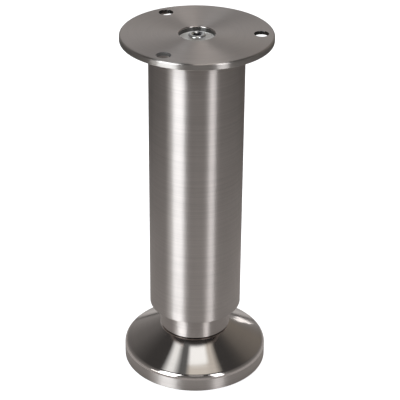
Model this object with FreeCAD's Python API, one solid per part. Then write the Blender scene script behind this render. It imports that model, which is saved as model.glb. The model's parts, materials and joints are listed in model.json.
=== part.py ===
"""Height adjustable table leg: a round tube on a flared swivel foot, with a screw for the height.

Millimetres. The origin is on the floor at the centre of the foot and +Z is up.
One of the plate's three screw holes lies towards +X.
"""
import FreeCAD, Part
import collections
import math
import os

# Foot
foot_diameter = 80.0
rim_height = 7.35
shoulder_radius = 3.5
cone_angle = 28.7
neck_inset = 0.2
foot_wall = 4.0
rim_land = 3.0
rim_edge_chamfer = 0.4
foot_boss_diameter = 22.0
foot_cavity_radius = 1.5

# Pad under the foot
pad_width = 7.0
pad_thickness = 2.6
pad_projection = 0.6

# Collar that comes out of the tube
collar_wall = 1.5
collar_exposed = 13.9
collar_edge_chamfer = 0.4
collar_plug_thickness = 8.0

# Column tube and its bush
tube_diameter = 50.8
tube_wall = 1.5
tube_length = 159.8
tube_edge_chamfer = 0.3
bush_wall = 4.22
bush_length = 20.0
bush_inset = 0.7
bush_groove_depth = 0.8
bush_groove_width = 6.0

# Height adjustment, from the height at rest
retract_travel = 7.0
extend_travel = 13.0
stop_clearance = 3.0

# Plugs in the tube
lower_plug_thickness = 14.0
top_plug_thickness = 8.0
plug_edge_chamfer = 0.6

# Height screw, its pivot and what holds the foot on it
spindle_diameter = 10.0
spindle_spare_length = 2.0
spindle_end_chamfer = 1.2
pivot_shoulder = 1.0
pivot_end_chamfer = 0.8
pivot_spare_length = 0.8
pivot_floor_clearance = 2.0
lock_nut_across_flats = 17.0
lock_nut_height = 5.0
retaining_nut_across_flats = 13.0
retaining_nut_height = 4.0
retaining_washer_diameter = 16.0
retaining_washer_thickness = 1.6
thrust_washer_diameter = 28.0
thrust_washer_thickness = 0.8
nut_chamfer_angle = 30.0

# Mounting plate
plate_diameter = 80.5
plate_sheet = 2.0
plate_lip_height = 3.4
plate_edge_radius = 0.9
plate_corner_chamfer = 0.3
recess_diameter = 19.0
recess_depth = 3.1
recess_edge_chamfer = 0.4
table_hole_diameter = 7.4
table_hole_edge_distance = 7.0
table_hole_count = 3

# Plate screw
screw_diameter = 6.0
screw_length = 12.0
screw_head_diameter = 9.0
screw_head_height = 2.9
screw_head_chamfer = 0.4
screw_socket_across_flats = 4.0
screw_socket_depth = 1.9
screw_end_chamfer = 0.8

# Fits, as radial or axial clearances
seat_clearance = 0.02
running_clearance = 0.06
thread_clearance = 0.04
swivel_play = 0.05
screw_hole_clearance = 0.3

# Radii from the driving dimensions
foot_radius = foot_diameter / 2
tube_radius = tube_diameter / 2
tube_bore_radius = tube_radius - tube_wall
tube_fill_radius = tube_bore_radius - seat_clearance
bush_bore_radius = tube_fill_radius - bush_wall
collar_radius = bush_bore_radius - running_clearance
collar_bore_radius = collar_radius - collar_wall
neck_radius = collar_radius - neck_inset
spindle_radius = spindle_diameter / 2
pivot_radius = spindle_radius - pivot_shoulder
foot_bore_radius = pivot_radius + running_clearance
plate_radius = plate_diameter / 2
recess_radius = recess_diameter / 2
screw_radius = screw_diameter / 2
pad_groove_outer_radius = foot_radius - rim_land
pad_groove_inner_radius = pad_groove_outer_radius - pad_width

# Slope of the foot's cone, and the height of the corner that the shoulder rounds
cone_slope = math.tan(math.radians(cone_angle))
rim_top_z = pad_projection + rim_height
shoulder_reach = shoulder_radius * math.tan((math.pi / 2 - math.radians(cone_angle)) / 2)
shoulder_corner_z = rim_top_z + shoulder_reach

# Heights of the foot and what holds it, from the floor up
foot_top_z = shoulder_corner_z + (foot_radius - neck_radius) * cone_slope
pivot_bottom_z = pivot_floor_clearance
retaining_nut_bottom_z = pivot_bottom_z + pivot_spare_length
retaining_nut_top_z = retaining_nut_bottom_z + retaining_nut_height
retaining_washer_top_z = retaining_nut_top_z + retaining_washer_thickness
foot_boss_bottom_z = retaining_washer_top_z + swivel_play

# Heights of the collar and the column, from the foot up
collar_bottom_z = foot_top_z + thrust_washer_thickness + swivel_play
collar_plug_top_z = collar_bottom_z + collar_plug_thickness
tube_bottom_z = collar_bottom_z + collar_exposed
bush_bottom_z = tube_bottom_z + bush_inset
bush_top_z = bush_bottom_z + bush_length
collar_top_z = bush_top_z + extend_travel
lower_plug_bottom_z = collar_top_z + retract_travel + stop_clearance
lower_plug_top_z = lower_plug_bottom_z + lower_plug_thickness
spindle_top_z = lower_plug_top_z + extend_travel + spindle_spare_length
tube_top_z = tube_bottom_z + tube_length
plate_top_z = tube_top_z + plate_sheet
recess_floor_z = plate_top_z - recess_depth
recess_under_z = recess_floor_z - plate_sheet

AXIS_START = FreeCAD.Vector(0, 0, 0)
UP = FreeCAD.Vector(0, 0, 1)
FULL_TURN = 360
HEXAGON_SIDES = 6

# A corner of a turned profile, left sharp, rounded or chamfered
Corner = collections.namedtuple("Corner", "radius height rounding chamfer", defaults=(0, 0))


def profile_wire(corners):
    """Closed wire in the XZ plane through the corners, with tangent arcs and chamfers where they ask for them."""
    starts = []
    ends = []
    bends = []
    for index, corner in enumerate(corners):
        before = corners[index - 1]
        after = corners[(index + 1) % len(corners)]
        point = FreeCAD.Vector(corner.radius, 0, corner.height)
        to_before = (FreeCAD.Vector(before.radius, 0, before.height) - point).normalize()
        to_after = (FreeCAD.Vector(after.radius, 0, after.height) - point).normalize()
        half_angle = to_before.getAngle(to_after) / 2
        reach = corner.chamfer + corner.rounding / math.tan(half_angle)
        start = point + to_before * reach
        end = point + to_after * reach
        starts.append(start)
        ends.append(end)
        if corner.rounding:
            bisector = (to_before + to_after).normalize()
            middle = point + bisector * corner.rounding * (1 / math.sin(half_angle) - 1)
            bends.append(Part.Arc(start, middle, end).toShape())
        elif corner.chamfer:
            bends.append(Part.LineSegment(start, end).toShape())
        else:
            bends.append(None)
    edges = []
    for index, bend in enumerate(bends):
        if bend:
            edges.append(bend)
        following = starts[(index + 1) % len(starts)]
        edges.append(Part.LineSegment(ends[index], following).toShape())
    return Part.Wire(edges)


def turned(corners):
    """Solid of revolution about the Z axis from the corners of its section."""
    return Part.Face(profile_wire(corners)).revolve(AXIS_START, UP, FULL_TURN)


def ring(inner_radius, outer_radius, bottom_z, top_z, chamfer=0):
    """Turned ring with a square section and four equal edge chamfers."""
    return turned([
        Corner(inner_radius, bottom_z, chamfer=chamfer),
        Corner(outer_radius, bottom_z, chamfer=chamfer),
        Corner(outer_radius, top_z, chamfer=chamfer),
        Corner(inner_radius, top_z, chamfer=chamfer),
    ])


def hexagon_corner_radius(across_flats):
    """Radius of the circle through a hexagon's corners."""
    return across_flats / 2 / math.cos(math.pi / HEXAGON_SIDES)


def hexagon_prism(across_flats, bottom_z, height):
    """Six-sided prism about the Z axis, with two flats across Y."""
    corner_radius = hexagon_corner_radius(across_flats)
    points = []
    for index in range(HEXAGON_SIDES + 1):
        turn = math.tau * index / HEXAGON_SIDES
        points.append(FreeCAD.Vector(corner_radius * math.cos(turn), corner_radius * math.sin(turn), bottom_z))
    return Part.Face(Part.makePolygon(points)).extrude(UP * height)


def hexagon_nut(across_flats, bore_radius, bottom_z, height):
    """Hexagon nut whose corners are turned to a cone on both faces."""
    flat_radius = across_flats / 2
    corner_radius = hexagon_corner_radius(across_flats)
    drop = (corner_radius - flat_radius) * math.tan(math.radians(nut_chamfer_angle))
    top_z = bottom_z + height
    turned_blank = turned([
        Corner(bore_radius, bottom_z),
        Corner(flat_radius, bottom_z),
        Corner(corner_radius, bottom_z + drop),
        Corner(corner_radius, top_z - drop),
        Corner(flat_radius, top_z),
        Corner(bore_radius, top_z),
    ])
    return turned_blank.common(hexagon_prism(across_flats, bottom_z, height))


def make_foot_shell():
    """Flared foot: vertical rim, rounded shoulder and cone outside, hollow with a bored boss inside."""
    boss_radius = foot_boss_diameter / 2
    cavity_radius = pad_groove_inner_radius - rim_land
    wall_drop = foot_wall / math.cos(math.radians(cone_angle))
    cavity_top_z = foot_top_z - wall_drop
    cavity_edge_z = cavity_top_z - (cavity_radius - neck_radius) * cone_slope
    return turned([
        Corner(foot_bore_radius, foot_top_z),
        Corner(neck_radius, foot_top_z, chamfer=rim_edge_chamfer),
        Corner(foot_radius, shoulder_corner_z, rounding=shoulder_radius),
        Corner(foot_radius, pad_projection, chamfer=rim_edge_chamfer),
        Corner(pad_groove_outer_radius, pad_projection),
        Corner(pad_groove_outer_radius, pad_thickness),
        Corner(pad_groove_inner_radius, pad_thickness),
        Corner(pad_groove_inner_radius, pad_projection),
        Corner(cavity_radius, pad_projection, chamfer=rim_edge_chamfer),
        Corner(cavity_radius, cavity_edge_z, rounding=foot_cavity_radius),
        Corner(neck_radius, cavity_top_z),
        Corner(boss_radius, cavity_top_z, rounding=foot_cavity_radius),
        Corner(boss_radius, foot_boss_bottom_z, chamfer=rim_edge_chamfer),
        Corner(foot_bore_radius, foot_boss_bottom_z),
    ])


def make_foot_pad():
    """Soft ring seated in the groove under the foot, standing proud of the rim."""
    return ring(
        pad_groove_inner_radius + seat_clearance,
        pad_groove_outer_radius - seat_clearance,
        0,
        pad_thickness,
    )


def make_thrust_washer():
    """Plastic washer on the foot's top, under the collar."""
    top_z = foot_top_z + thrust_washer_thickness
    return ring(foot_bore_radius, thrust_washer_diameter / 2, foot_top_z, top_z)


def make_collar_sleeve():
    """Sleeve that turns and slides in the bush."""
    return turned([
        Corner(collar_bore_radius, collar_bottom_z),
        Corner(collar_radius, collar_bottom_z, chamfer=collar_edge_chamfer),
        Corner(collar_radius, collar_top_z, chamfer=collar_edge_chamfer),
        Corner(collar_bore_radius, collar_top_z),
    ])


def make_collar_plug():
    """Threaded plug, flush with the sleeve's lower end."""
    outer_radius = collar_bore_radius - seat_clearance
    inner_radius = spindle_radius + thread_clearance
    return turned([
        Corner(inner_radius, collar_bottom_z),
        Corner(outer_radius, collar_bottom_z),
        Corner(outer_radius, collar_plug_top_z, chamfer=plug_edge_chamfer),
        Corner(inner_radius, collar_plug_top_z),
    ])


def make_spindle():
    """Height screw: threaded length through both plugs, a shoulder at the collar and a pivot through the foot."""
    return turned([
        Corner(0, pivot_bottom_z),
        Corner(pivot_radius, pivot_bottom_z, chamfer=pivot_end_chamfer),
        Corner(pivot_radius, collar_bottom_z),
        Corner(spindle_radius, collar_bottom_z),
        Corner(spindle_radius, spindle_top_z, chamfer=spindle_end_chamfer),
        Corner(0, spindle_top_z),
    ])


def make_spindle_lock_nut():
    """Thin nut that locks the spindle to the collar's plug."""
    bore_radius = spindle_radius + thread_clearance
    return hexagon_nut(lock_nut_across_flats, bore_radius, collar_plug_top_z, lock_nut_height)


def make_retaining_washer():
    """Steel washer under the foot's boss."""
    bore_radius = pivot_radius + thread_clearance
    return ring(bore_radius, retaining_washer_diameter / 2, retaining_nut_top_z, retaining_washer_top_z)


def make_retaining_nut():
    """Nut on the pivot's end, which holds the foot on the spindle."""
    bore_radius = pivot_radius + thread_clearance
    return hexagon_nut(retaining_nut_across_flats, bore_radius, retaining_nut_bottom_z, retaining_nut_height)


def make_column_tube():
    """Round tube from the bush to the plate."""
    return ring(tube_bore_radius, tube_radius, tube_bottom_z, tube_top_z, tube_edge_chamfer)


def make_guide_bush():
    """Plastic bush in the tube's lower end, with a relief groove round the middle of its bore."""
    groove_radius = bush_bore_radius + bush_groove_depth
    middle_z = (bush_bottom_z + bush_top_z) / 2
    groove_bottom_z = middle_z - bush_groove_width / 2
    groove_top_z = middle_z + bush_groove_width / 2
    return turned([
        Corner(bush_bore_radius, bush_bottom_z, chamfer=plug_edge_chamfer),
        Corner(tube_fill_radius, bush_bottom_z, chamfer=plug_edge_chamfer),
        Corner(tube_fill_radius, bush_top_z, chamfer=plug_edge_chamfer),
        Corner(bush_bore_radius, bush_top_z, chamfer=plug_edge_chamfer),
        Corner(bush_bore_radius, groove_top_z),
        Corner(groove_radius, groove_top_z),
        Corner(groove_radius, groove_bottom_z),
        Corner(bush_bore_radius, groove_bottom_z),
    ])


def make_lower_plug():
    """Threaded plug in the tube that the spindle turns in."""
    bore_radius = spindle_radius + running_clearance
    return ring(bore_radius, tube_fill_radius, lower_plug_bottom_z, lower_plug_top_z, plug_edge_chamfer)


def make_top_plug():
    """Threaded plug in the tube's upper end, against the underside of the plate's recess."""
    bore_radius = screw_radius + thread_clearance
    bottom_z = recess_under_z - top_plug_thickness
    return ring(bore_radius, tube_fill_radius, bottom_z, recess_under_z, plug_edge_chamfer)


def make_mounting_plate():
    """Pressed sheet: down-turned edge, drawn recess with a screw hole, and holes for the table screws."""
    screw_hole_radius = screw_radius + screw_hole_clearance
    web_bottom_z = plate_top_z - plate_sheet
    lip_bottom_z = plate_top_z - plate_lip_height
    lip_inner_radius = plate_radius - plate_sheet
    cup_radius = recess_radius + plate_sheet
    plate = turned([
        Corner(screw_hole_radius, recess_floor_z),
        Corner(recess_radius, recess_floor_z, chamfer=plate_corner_chamfer),
        Corner(recess_radius, plate_top_z, chamfer=recess_edge_chamfer),
        Corner(plate_radius, plate_top_z, rounding=plate_edge_radius),
        Corner(plate_radius, lip_bottom_z, chamfer=plate_corner_chamfer),
        Corner(lip_inner_radius, lip_bottom_z, chamfer=plate_corner_chamfer),
        Corner(lip_inner_radius, web_bottom_z, chamfer=plate_corner_chamfer),
        Corner(cup_radius, web_bottom_z),
        Corner(cup_radius, recess_under_z, chamfer=plate_corner_chamfer),
        Corner(screw_hole_radius, recess_under_z),
    ])
    hole_centre = FreeCAD.Vector(plate_radius - table_hole_edge_distance, 0, lip_bottom_z)
    hole = Part.makeCylinder(table_hole_diameter / 2, plate_lip_height, hole_centre, UP)
    for index in range(table_hole_count):
        turned_hole = hole.copy()
        turned_hole.rotate(AXIS_START, UP, FULL_TURN * index / table_hole_count)
        plate = plate.cut(turned_hole)
    return plate


def make_plate_screw():
    """Low-headed hexagon socket screw that pulls the plate onto the tube."""
    head_top_z = recess_floor_z + screw_head_height
    end_z = recess_floor_z - screw_length
    blank = turned([
        Corner(0, end_z),
        Corner(screw_radius, end_z, chamfer=screw_end_chamfer),
        Corner(screw_radius, recess_floor_z),
        Corner(screw_head_diameter / 2, recess_floor_z),
        Corner(screw_head_diameter / 2, head_top_z, chamfer=screw_head_chamfer),
        Corner(0, head_top_z),
    ])
    socket_bottom_z = head_top_z - screw_socket_depth
    return blank.cut(hexagon_prism(screw_socket_across_flats, socket_bottom_z, screw_head_height))


pieces = {
    "mounting_plate": make_mounting_plate,
    "plate_screw": make_plate_screw,
    "top_plug": make_top_plug,
    "column_tube": make_column_tube,
    "lower_plug": make_lower_plug,
    "guide_bush": make_guide_bush,
    "collar_sleeve": make_collar_sleeve,
    "collar_plug": make_collar_plug,
    "spindle": make_spindle,
    "spindle_lock_nut": make_spindle_lock_nut,
    "thrust_washer": make_thrust_washer,
    "foot_shell": make_foot_shell,
    "retaining_washer": make_retaining_washer,
    "retaining_nut": make_retaining_nut,
    "foot_pad": make_foot_pad,
}

os.makedirs("parts", exist_ok=True)
for name, make in pieces.items():
    make().exportStep("parts/" + name + ".step")
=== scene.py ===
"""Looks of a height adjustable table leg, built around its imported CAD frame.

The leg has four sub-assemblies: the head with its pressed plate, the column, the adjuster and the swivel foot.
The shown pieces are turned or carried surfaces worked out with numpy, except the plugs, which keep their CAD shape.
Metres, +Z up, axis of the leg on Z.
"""

import json
import logging
import math
from dataclasses import dataclass, field
from enum import Enum, IntEnum
from typing import Sequence

import bpy
import numpy as np
from mathutils import Matrix, Vector


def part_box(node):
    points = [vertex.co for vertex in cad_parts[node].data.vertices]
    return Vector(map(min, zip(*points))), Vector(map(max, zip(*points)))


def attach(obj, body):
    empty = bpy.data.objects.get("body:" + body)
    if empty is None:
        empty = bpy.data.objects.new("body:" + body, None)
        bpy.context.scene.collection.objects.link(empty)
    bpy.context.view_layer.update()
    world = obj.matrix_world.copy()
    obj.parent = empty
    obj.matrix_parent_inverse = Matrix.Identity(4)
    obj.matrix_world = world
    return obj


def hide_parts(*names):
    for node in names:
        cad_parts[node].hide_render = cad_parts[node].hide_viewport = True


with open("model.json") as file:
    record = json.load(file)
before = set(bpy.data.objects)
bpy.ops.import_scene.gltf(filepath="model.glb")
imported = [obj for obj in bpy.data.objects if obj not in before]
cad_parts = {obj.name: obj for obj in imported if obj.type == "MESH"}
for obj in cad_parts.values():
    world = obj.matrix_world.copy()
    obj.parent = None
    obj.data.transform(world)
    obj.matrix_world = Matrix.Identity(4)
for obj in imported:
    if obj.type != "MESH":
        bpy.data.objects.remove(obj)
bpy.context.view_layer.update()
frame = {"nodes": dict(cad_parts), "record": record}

MM = 0.001
FULL_TURN = 2.0 * math.pi
TURN_STEPS = 288
FINE_STEPS = 96
ARC_STEPS = 6
SEAM_ANGLE = math.radians(-25.0)
WELD_DISTANCE = 1e-7
CREASE_ANGLE = math.radians(28.0)
CHAMFER_ROUNDING = 0.06 * MM
HEXAGON_SIDES = 6
TINY = 1e-12
# Depth of a metric thread per pitch, and where its crest and root begin and end as shares of the pitch
THREAD_DEPTH = 0.6134
THREAD_PHASES = (0.0, 0.125, 0.4375, 0.75)
# Range that most of a noise lies in, and counts of its octaves
NOISE_SPAN = (0.3, 0.7)
FEW_OCTAVES = 2.0
SOME_OCTAVES = 3.0
MANY_OCTAVES = 4.0
WHITE = (1.0, 1.0, 1.0)
WARM = (0.98, 0.96, 0.88)

Array = np.ndarray
Colour = tuple[float, float, float]
Material = bpy.types.Material
Piece = bpy.types.Object
Socket = bpy.types.NodeSocket
log = logging.getLogger("table_leg")


class Body(Enum):
    """Bodies of the leg that move against each other."""

    FOOT = "foot"
    COLUMN = "column"
    ADJUSTER = "adjuster"


class Slot(Enum):
    """Material slots of the record."""

    PLATE = "brushed_plate"
    TUBE = "brushed_tube"
    POLISHED = "polished_steel"
    ZINC = "zinc_steel"
    PLAIN = "plain_steel"
    PLASTIC = "black_plastic"
    RUBBER = "pad_rubber"


class Shading(Enum):
    """How the normals of a piece come about."""

    FORMULA = "normals of the formula"
    CREASED = "smooth up to the crease angle"


class PlateBand(IntEnum):
    """Finishes of the plate, in the order of its materials."""

    FLAT = 0
    RECESS_WALL = 1
    EDGE = 2
    RECESS_FLOOR = 3
    RECESS_MOUTH = 4
    HOLE = 5
    FRONT_HOLE = 6


class FootBand(IntEnum):
    """Finishes of the foot, in the order of its materials."""

    CONE = 0
    RIM = 1
    UNDERSIDE = 2


class TurnedBand(IntEnum):
    """Finishes of the tube, the sleeve, the plate screw and plain rings, in the order of their materials."""

    OUTSIDE = 0
    INSIDE = 1


def grid(*values: Array | float) -> Array:
    """Values that depend on either parameter, brought to one grid with the values along its last axis."""
    return np.stack(np.broadcast_arrays(*values), axis=-1)


def grid_quads(rows: int, columns: int) -> Array:
    """Corner numbers of the faces of a grid of points, row by row (faces, 4)."""
    index = np.arange(rows * columns).reshape(rows, columns)
    return np.stack([index[:-1, :-1], index[:-1, 1:], index[1:, 1:], index[1:, :-1]], axis=-1).reshape(-1, 4)


@dataclass(frozen=True)
class Corner:
    """Corner of a turned section: its radius and height, the rounding there, and the finish of the line after it."""

    radius: float
    height: float
    rounding: float = 0.08 * MM
    band: int = 0


@dataclass(frozen=True)
class Outline:
    """Line of a turned section: points and outward normals (n, 2), length so far (n,) and finish per step (n - 1,)."""

    points: Array
    normals: Array
    lengths: Array
    bands: Array


@dataclass(frozen=True)
class Patch:
    """Surface on a grid of two parameters.

    points and normals are (rows, columns, 3), chart is (rows, columns, 2), and bands has the finish of each row of
    faces.
    """

    points: Array
    normals: Array
    chart: Array
    bands: Array

    def quads(self) -> Array:
        """Corner numbers of the grid's faces, turned so that the faces look along the normals.

        Returns:
            Whole numbers (faces, 4) into the patch's own points.
        """
        corners = grid_quads(*self.points.shape[:2])
        flat = self.points.reshape(-1, 3)
        facing = np.cross(flat[corners[:, 2]] - flat[corners[:, 0]], flat[corners[:, 3]] - flat[corners[:, 1]])
        wanted = self.normals.reshape(-1, 3)[corners].sum(axis=1)
        return corners if np.sum(facing * wanted) >= 0 else corners[:, ::-1]

    def face_bands(self) -> Array:
        """Finish of each face, in the order of quads()."""
        return np.repeat(self.bands, self.points.shape[1] - 1)


def section_outline(corners: Sequence[Corner], closed: bool = True) -> Outline:
    """Line of a turned section with its corners rounded.

    At each corner a circle of the rounding's radius touches both lines. It starts at rounding / tan(half the angle
    between the lines) before the corner, and its points are even in angle. The section runs with its inside on the
    left.

    Args:
        corners: The section's corners in order.
        closed: Whether the last corner joins the first. An open section starts and ends sharp.

    Returns:
        The outline, with the first point repeated at the end if it is closed.
    """
    spot = np.array([(c.radius, c.height) for c in corners])
    rounding = np.array([c.rounding for c in corners])
    ahead = np.roll(spot, -1, axis=0) - spot
    if not closed:
        ahead[-1] = spot[-1] - spot[-2]
        rounding[[0, -1]] = 0.0
    ahead /= np.linalg.norm(ahead, axis=1, keepdims=True)
    came = np.roll(ahead, 1, axis=0)
    if not closed:
        came[0] = ahead[0]
    sweep = np.arctan2(came[:, 0] * ahead[:, 1] - came[:, 1] * ahead[:, 0], np.sum(came * ahead, axis=1))
    reach = rounding * np.tan(np.abs(sweep) / 2.0)
    side = np.sign(sweep)[:, None]
    first_normal = np.stack([came[:, 1], -came[:, 0]], axis=1)
    centre = spot - came * reach[:, None] - side * rounding[:, None] * first_normal
    share = np.linspace(0.0, 1.0, ARC_STEPS + 1)
    heading = np.arctan2(first_normal[:, 1], first_normal[:, 0])[:, None] + sweep[:, None] * share
    normals = np.stack([np.cos(heading), np.sin(heading)], axis=-1)
    points = centre[:, None, :] + (side * rounding[:, None])[:, None, :] * normals
    points = points.reshape(-1, 2)
    normals = normals.reshape(-1, 2)
    bands = np.repeat([c.band for c in corners], ARC_STEPS + 1)
    if closed:
        points = np.concatenate([points, points[:1]])
        normals = np.concatenate([normals, normals[:1]])
    else:
        bands = bands[:-1]
    steps = np.linalg.norm(np.diff(points, axis=0), axis=1)
    return Outline(points, normals, np.concatenate([[0.0], np.cumsum(steps)]), bands)


def turn_angles(steps: int) -> Array:
    """Angles of a full turn from the seam, with the first repeated at the end."""
    return SEAM_ANGLE + np.linspace(0.0, FULL_TURN, steps + 1)


def turn_share(angle: Array) -> Array:
    """Share of the turn from the seam."""
    return (angle - SEAM_ANGLE) / FULL_TURN


def lathe(outline: Outline, steps: int = TURN_STEPS) -> Patch:
    """Surface that an outline sweeps round the Z axis.

    A point at length s and angle a is (radius(s) cos a, radius(s) sin a, height(s)).

    Args:
        outline: The turned section.
        steps: Steps of one turn.

    Returns:
        The patch, charted by length along the outline and share of the turn.
    """
    angle = turn_angles(steps)

    def swept(values: Array) -> Array:
        """Carries (radial, axial) pairs round the axis."""
        return grid(values[:, :1] * np.cos(angle), values[:, :1] * np.sin(angle), values[:, 1:])

    share = outline.lengths / outline.lengths[-1]
    chart = grid(share[:, None], turn_share(angle))
    return Patch(swept(outline.points), swept(outline.normals), chart, outline.bands)


def turned_rows(radii: Array, heights: Array, band: int = 0) -> Patch:
    """Surface through rows whose radius and height may change with the angle, such as a hexagon's.

    A point of row i at angle a is (radius(i, a) cos a, radius(i, a) sin a, height(i, a)).

    Args:
        radii: Radius of each row and angle (rows, steps + 1).
        heights: Height of each row and angle.
        band: Finish of all the faces.

    Returns:
        The patch, whose normals come from the differences along both parameters.
    """
    angle = turn_angles(radii.shape[1] - 1)
    points = grid(radii * np.cos(angle), radii * np.sin(angle), heights)
    along = np.gradient(points, axis=0)
    around = grid(-np.sin(angle), np.cos(angle), 0.0)
    normals = np.cross(np.broadcast_to(around, points.shape), along)
    normals /= np.maximum(np.linalg.norm(normals, axis=-1, keepdims=True), TINY)
    share = np.linspace(0.0, 1.0, radii.shape[0])
    chart = grid(share[:, None], turn_share(angle))
    return Patch(points, normals, chart, np.full(radii.shape[0] - 1, band))


def hexagon_radius(across_flats: float) -> Array:
    """Radius of a hexagon by angle: half the flats' distance / cos(angle to the nearest flat's middle)."""
    sector = FULL_TURN / HEXAGON_SIDES
    angle = np.mod(turn_angles(FINE_STEPS), sector) - sector / 2.0
    return across_flats / 2.0 / np.cos(angle)


def thread(major: float, pitch: float, start: float, end: float) -> Patch:
    """Screw thread with flat crests and roots.

    Each row follows the helix: at angle a its height is start + pitch * (row's phase + a / full turn), and its radius
    is the crest's or the root's. Cones of 45 degrees cut both ends down to the root.

    Args:
        major: Radius of the crests.
        pitch: Rise of one turn.
        start: Height of the lower end.
        end: Height of the upper end.

    Returns:
        The patch, with radial normals.
    """
    core = thread_core(major, pitch)
    radii = np.array([major, major, core, core])
    turns = np.arange(-1, math.ceil((end - start) / pitch) + 1)
    lift = (turns[:, None] + np.array(THREAD_PHASES)).ravel()
    angle = turn_angles(FINE_STEPS)
    heights = np.clip(start + pitch * (lift[:, None] + turn_share(angle)), start, end)
    cone = core + np.minimum(heights - start, end - heights)
    radius = np.minimum(np.tile(radii, len(turns))[:, None], np.maximum(cone, core))
    points = grid(radius * np.cos(angle), radius * np.sin(angle), heights)
    normals = np.broadcast_to(grid(np.cos(angle), np.sin(angle), 0.0), points.shape)
    chart = grid(lift[:, None] / lift[-1], turn_share(angle))
    return Patch(points, normals, chart, np.zeros(len(lift) - 1, int))


def thread_core(major: float, pitch: float) -> float:
    """Root radius of a metric thread."""
    return major - THREAD_DEPTH * pitch


def ring(bore: float, radius: float, low: float, high: float, edge: float,
         bore_band: int = TurnedBand.OUTSIDE) -> Outline:
    """Section of a ring: four square corners with rounded edges.

    Args:
        bore: Inner radius.
        radius: Outer radius.
        low: Height of the lower face.
        high: Height of the upper face.
        edge: Rounding of the edges.
        bore_band: Finish of the bore.

    Returns:
        The outline.
    """
    return section_outline([Corner(bore, low, edge), Corner(radius, low, edge), Corner(radius, high, edge),
                            Corner(bore, high, edge, bore_band)])


def disc(height: float, start: float, end: float) -> Outline:
    """Flat end of a turned piece: a level line from one radius to another."""
    return section_outline([Corner(start, height), Corner(end, height)], closed=False)


@dataclass(frozen=True)
class Weld:
    """Joins patches, which share the points along their edges, into one closed mesh piece.

    finishes are in the order of the patches' bands, and shading says how the normals come about.
    """

    name: str
    patches: Sequence[Patch]
    finishes: Sequence["Finish"]
    shading: Shading = Shading.FORMULA

    def piece(self) -> Piece:
        """Welds points nearer than the weld distance, drops the faces that this closes up, and makes the object.

        Returns:
            The object, at the origin.
        """
        points = np.concatenate([p.points.reshape(-1, 3) for p in self.patches])
        normals = np.concatenate([p.normals.reshape(-1, 3) for p in self.patches])
        chart = np.concatenate([p.chart.reshape(-1, 2) for p in self.patches])
        sizes = [p.points.shape[0] * p.points.shape[1] for p in self.patches]
        offsets = np.concatenate([[0], np.cumsum(sizes)[:-1]])
        quads = np.concatenate([p.quads() + o for p, o in zip(self.patches, offsets)])
        bands = np.concatenate([p.face_bands() for p in self.patches])
        keys = np.rint(points / WELD_DISTANCE).astype(np.int64)
        _, first, place = np.unique(keys, axis=0, return_index=True, return_inverse=True)
        place = place.reshape(-1)
        corners = place[quads]
        kept = corners != np.roll(corners, 1, axis=1)
        whole = kept.sum(axis=1) > 2
        kept &= whole[:, None]
        starts = np.concatenate([[0], np.cumsum(kept[whole].sum(axis=1))[:-1]])
        mesh = bpy.data.meshes.new(self.name)
        mesh.vertices.add(len(first))
        mesh.vertices.foreach_set("co", points[first].ravel())
        mesh.loops.add(int(kept.sum()))
        mesh.loops.foreach_set("vertex_index", corners[kept].astype(np.int32))
        mesh.polygons.add(len(starts))
        mesh.polygons.foreach_set("loop_start", starts.astype(np.int32))
        mesh.polygons.foreach_set("material_index", bands[whole].astype(np.int32))
        mesh.update(calc_edges=True)
        layer = mesh.uv_layers.new(name="UVMap")
        layer.data.foreach_set("uv", chart[quads][kept].ravel())
        mesh.shade_smooth()
        if self.shading is Shading.FORMULA:
            summed = np.zeros((len(first), 3))
            np.add.at(summed, place, normals)
            summed /= np.maximum(np.linalg.norm(summed, axis=1, keepdims=True), TINY)
            mesh.normals_split_custom_set_from_vertices(summed)
        else:
            mesh.set_sharp_from_angle(angle=CREASE_ANGLE)
        for finish in self.finishes:
            mesh.materials.append(finish.material())
        made = bpy.data.objects.new(self.name, mesh)
        bpy.context.scene.collection.objects.link(made)
        return made


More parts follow.
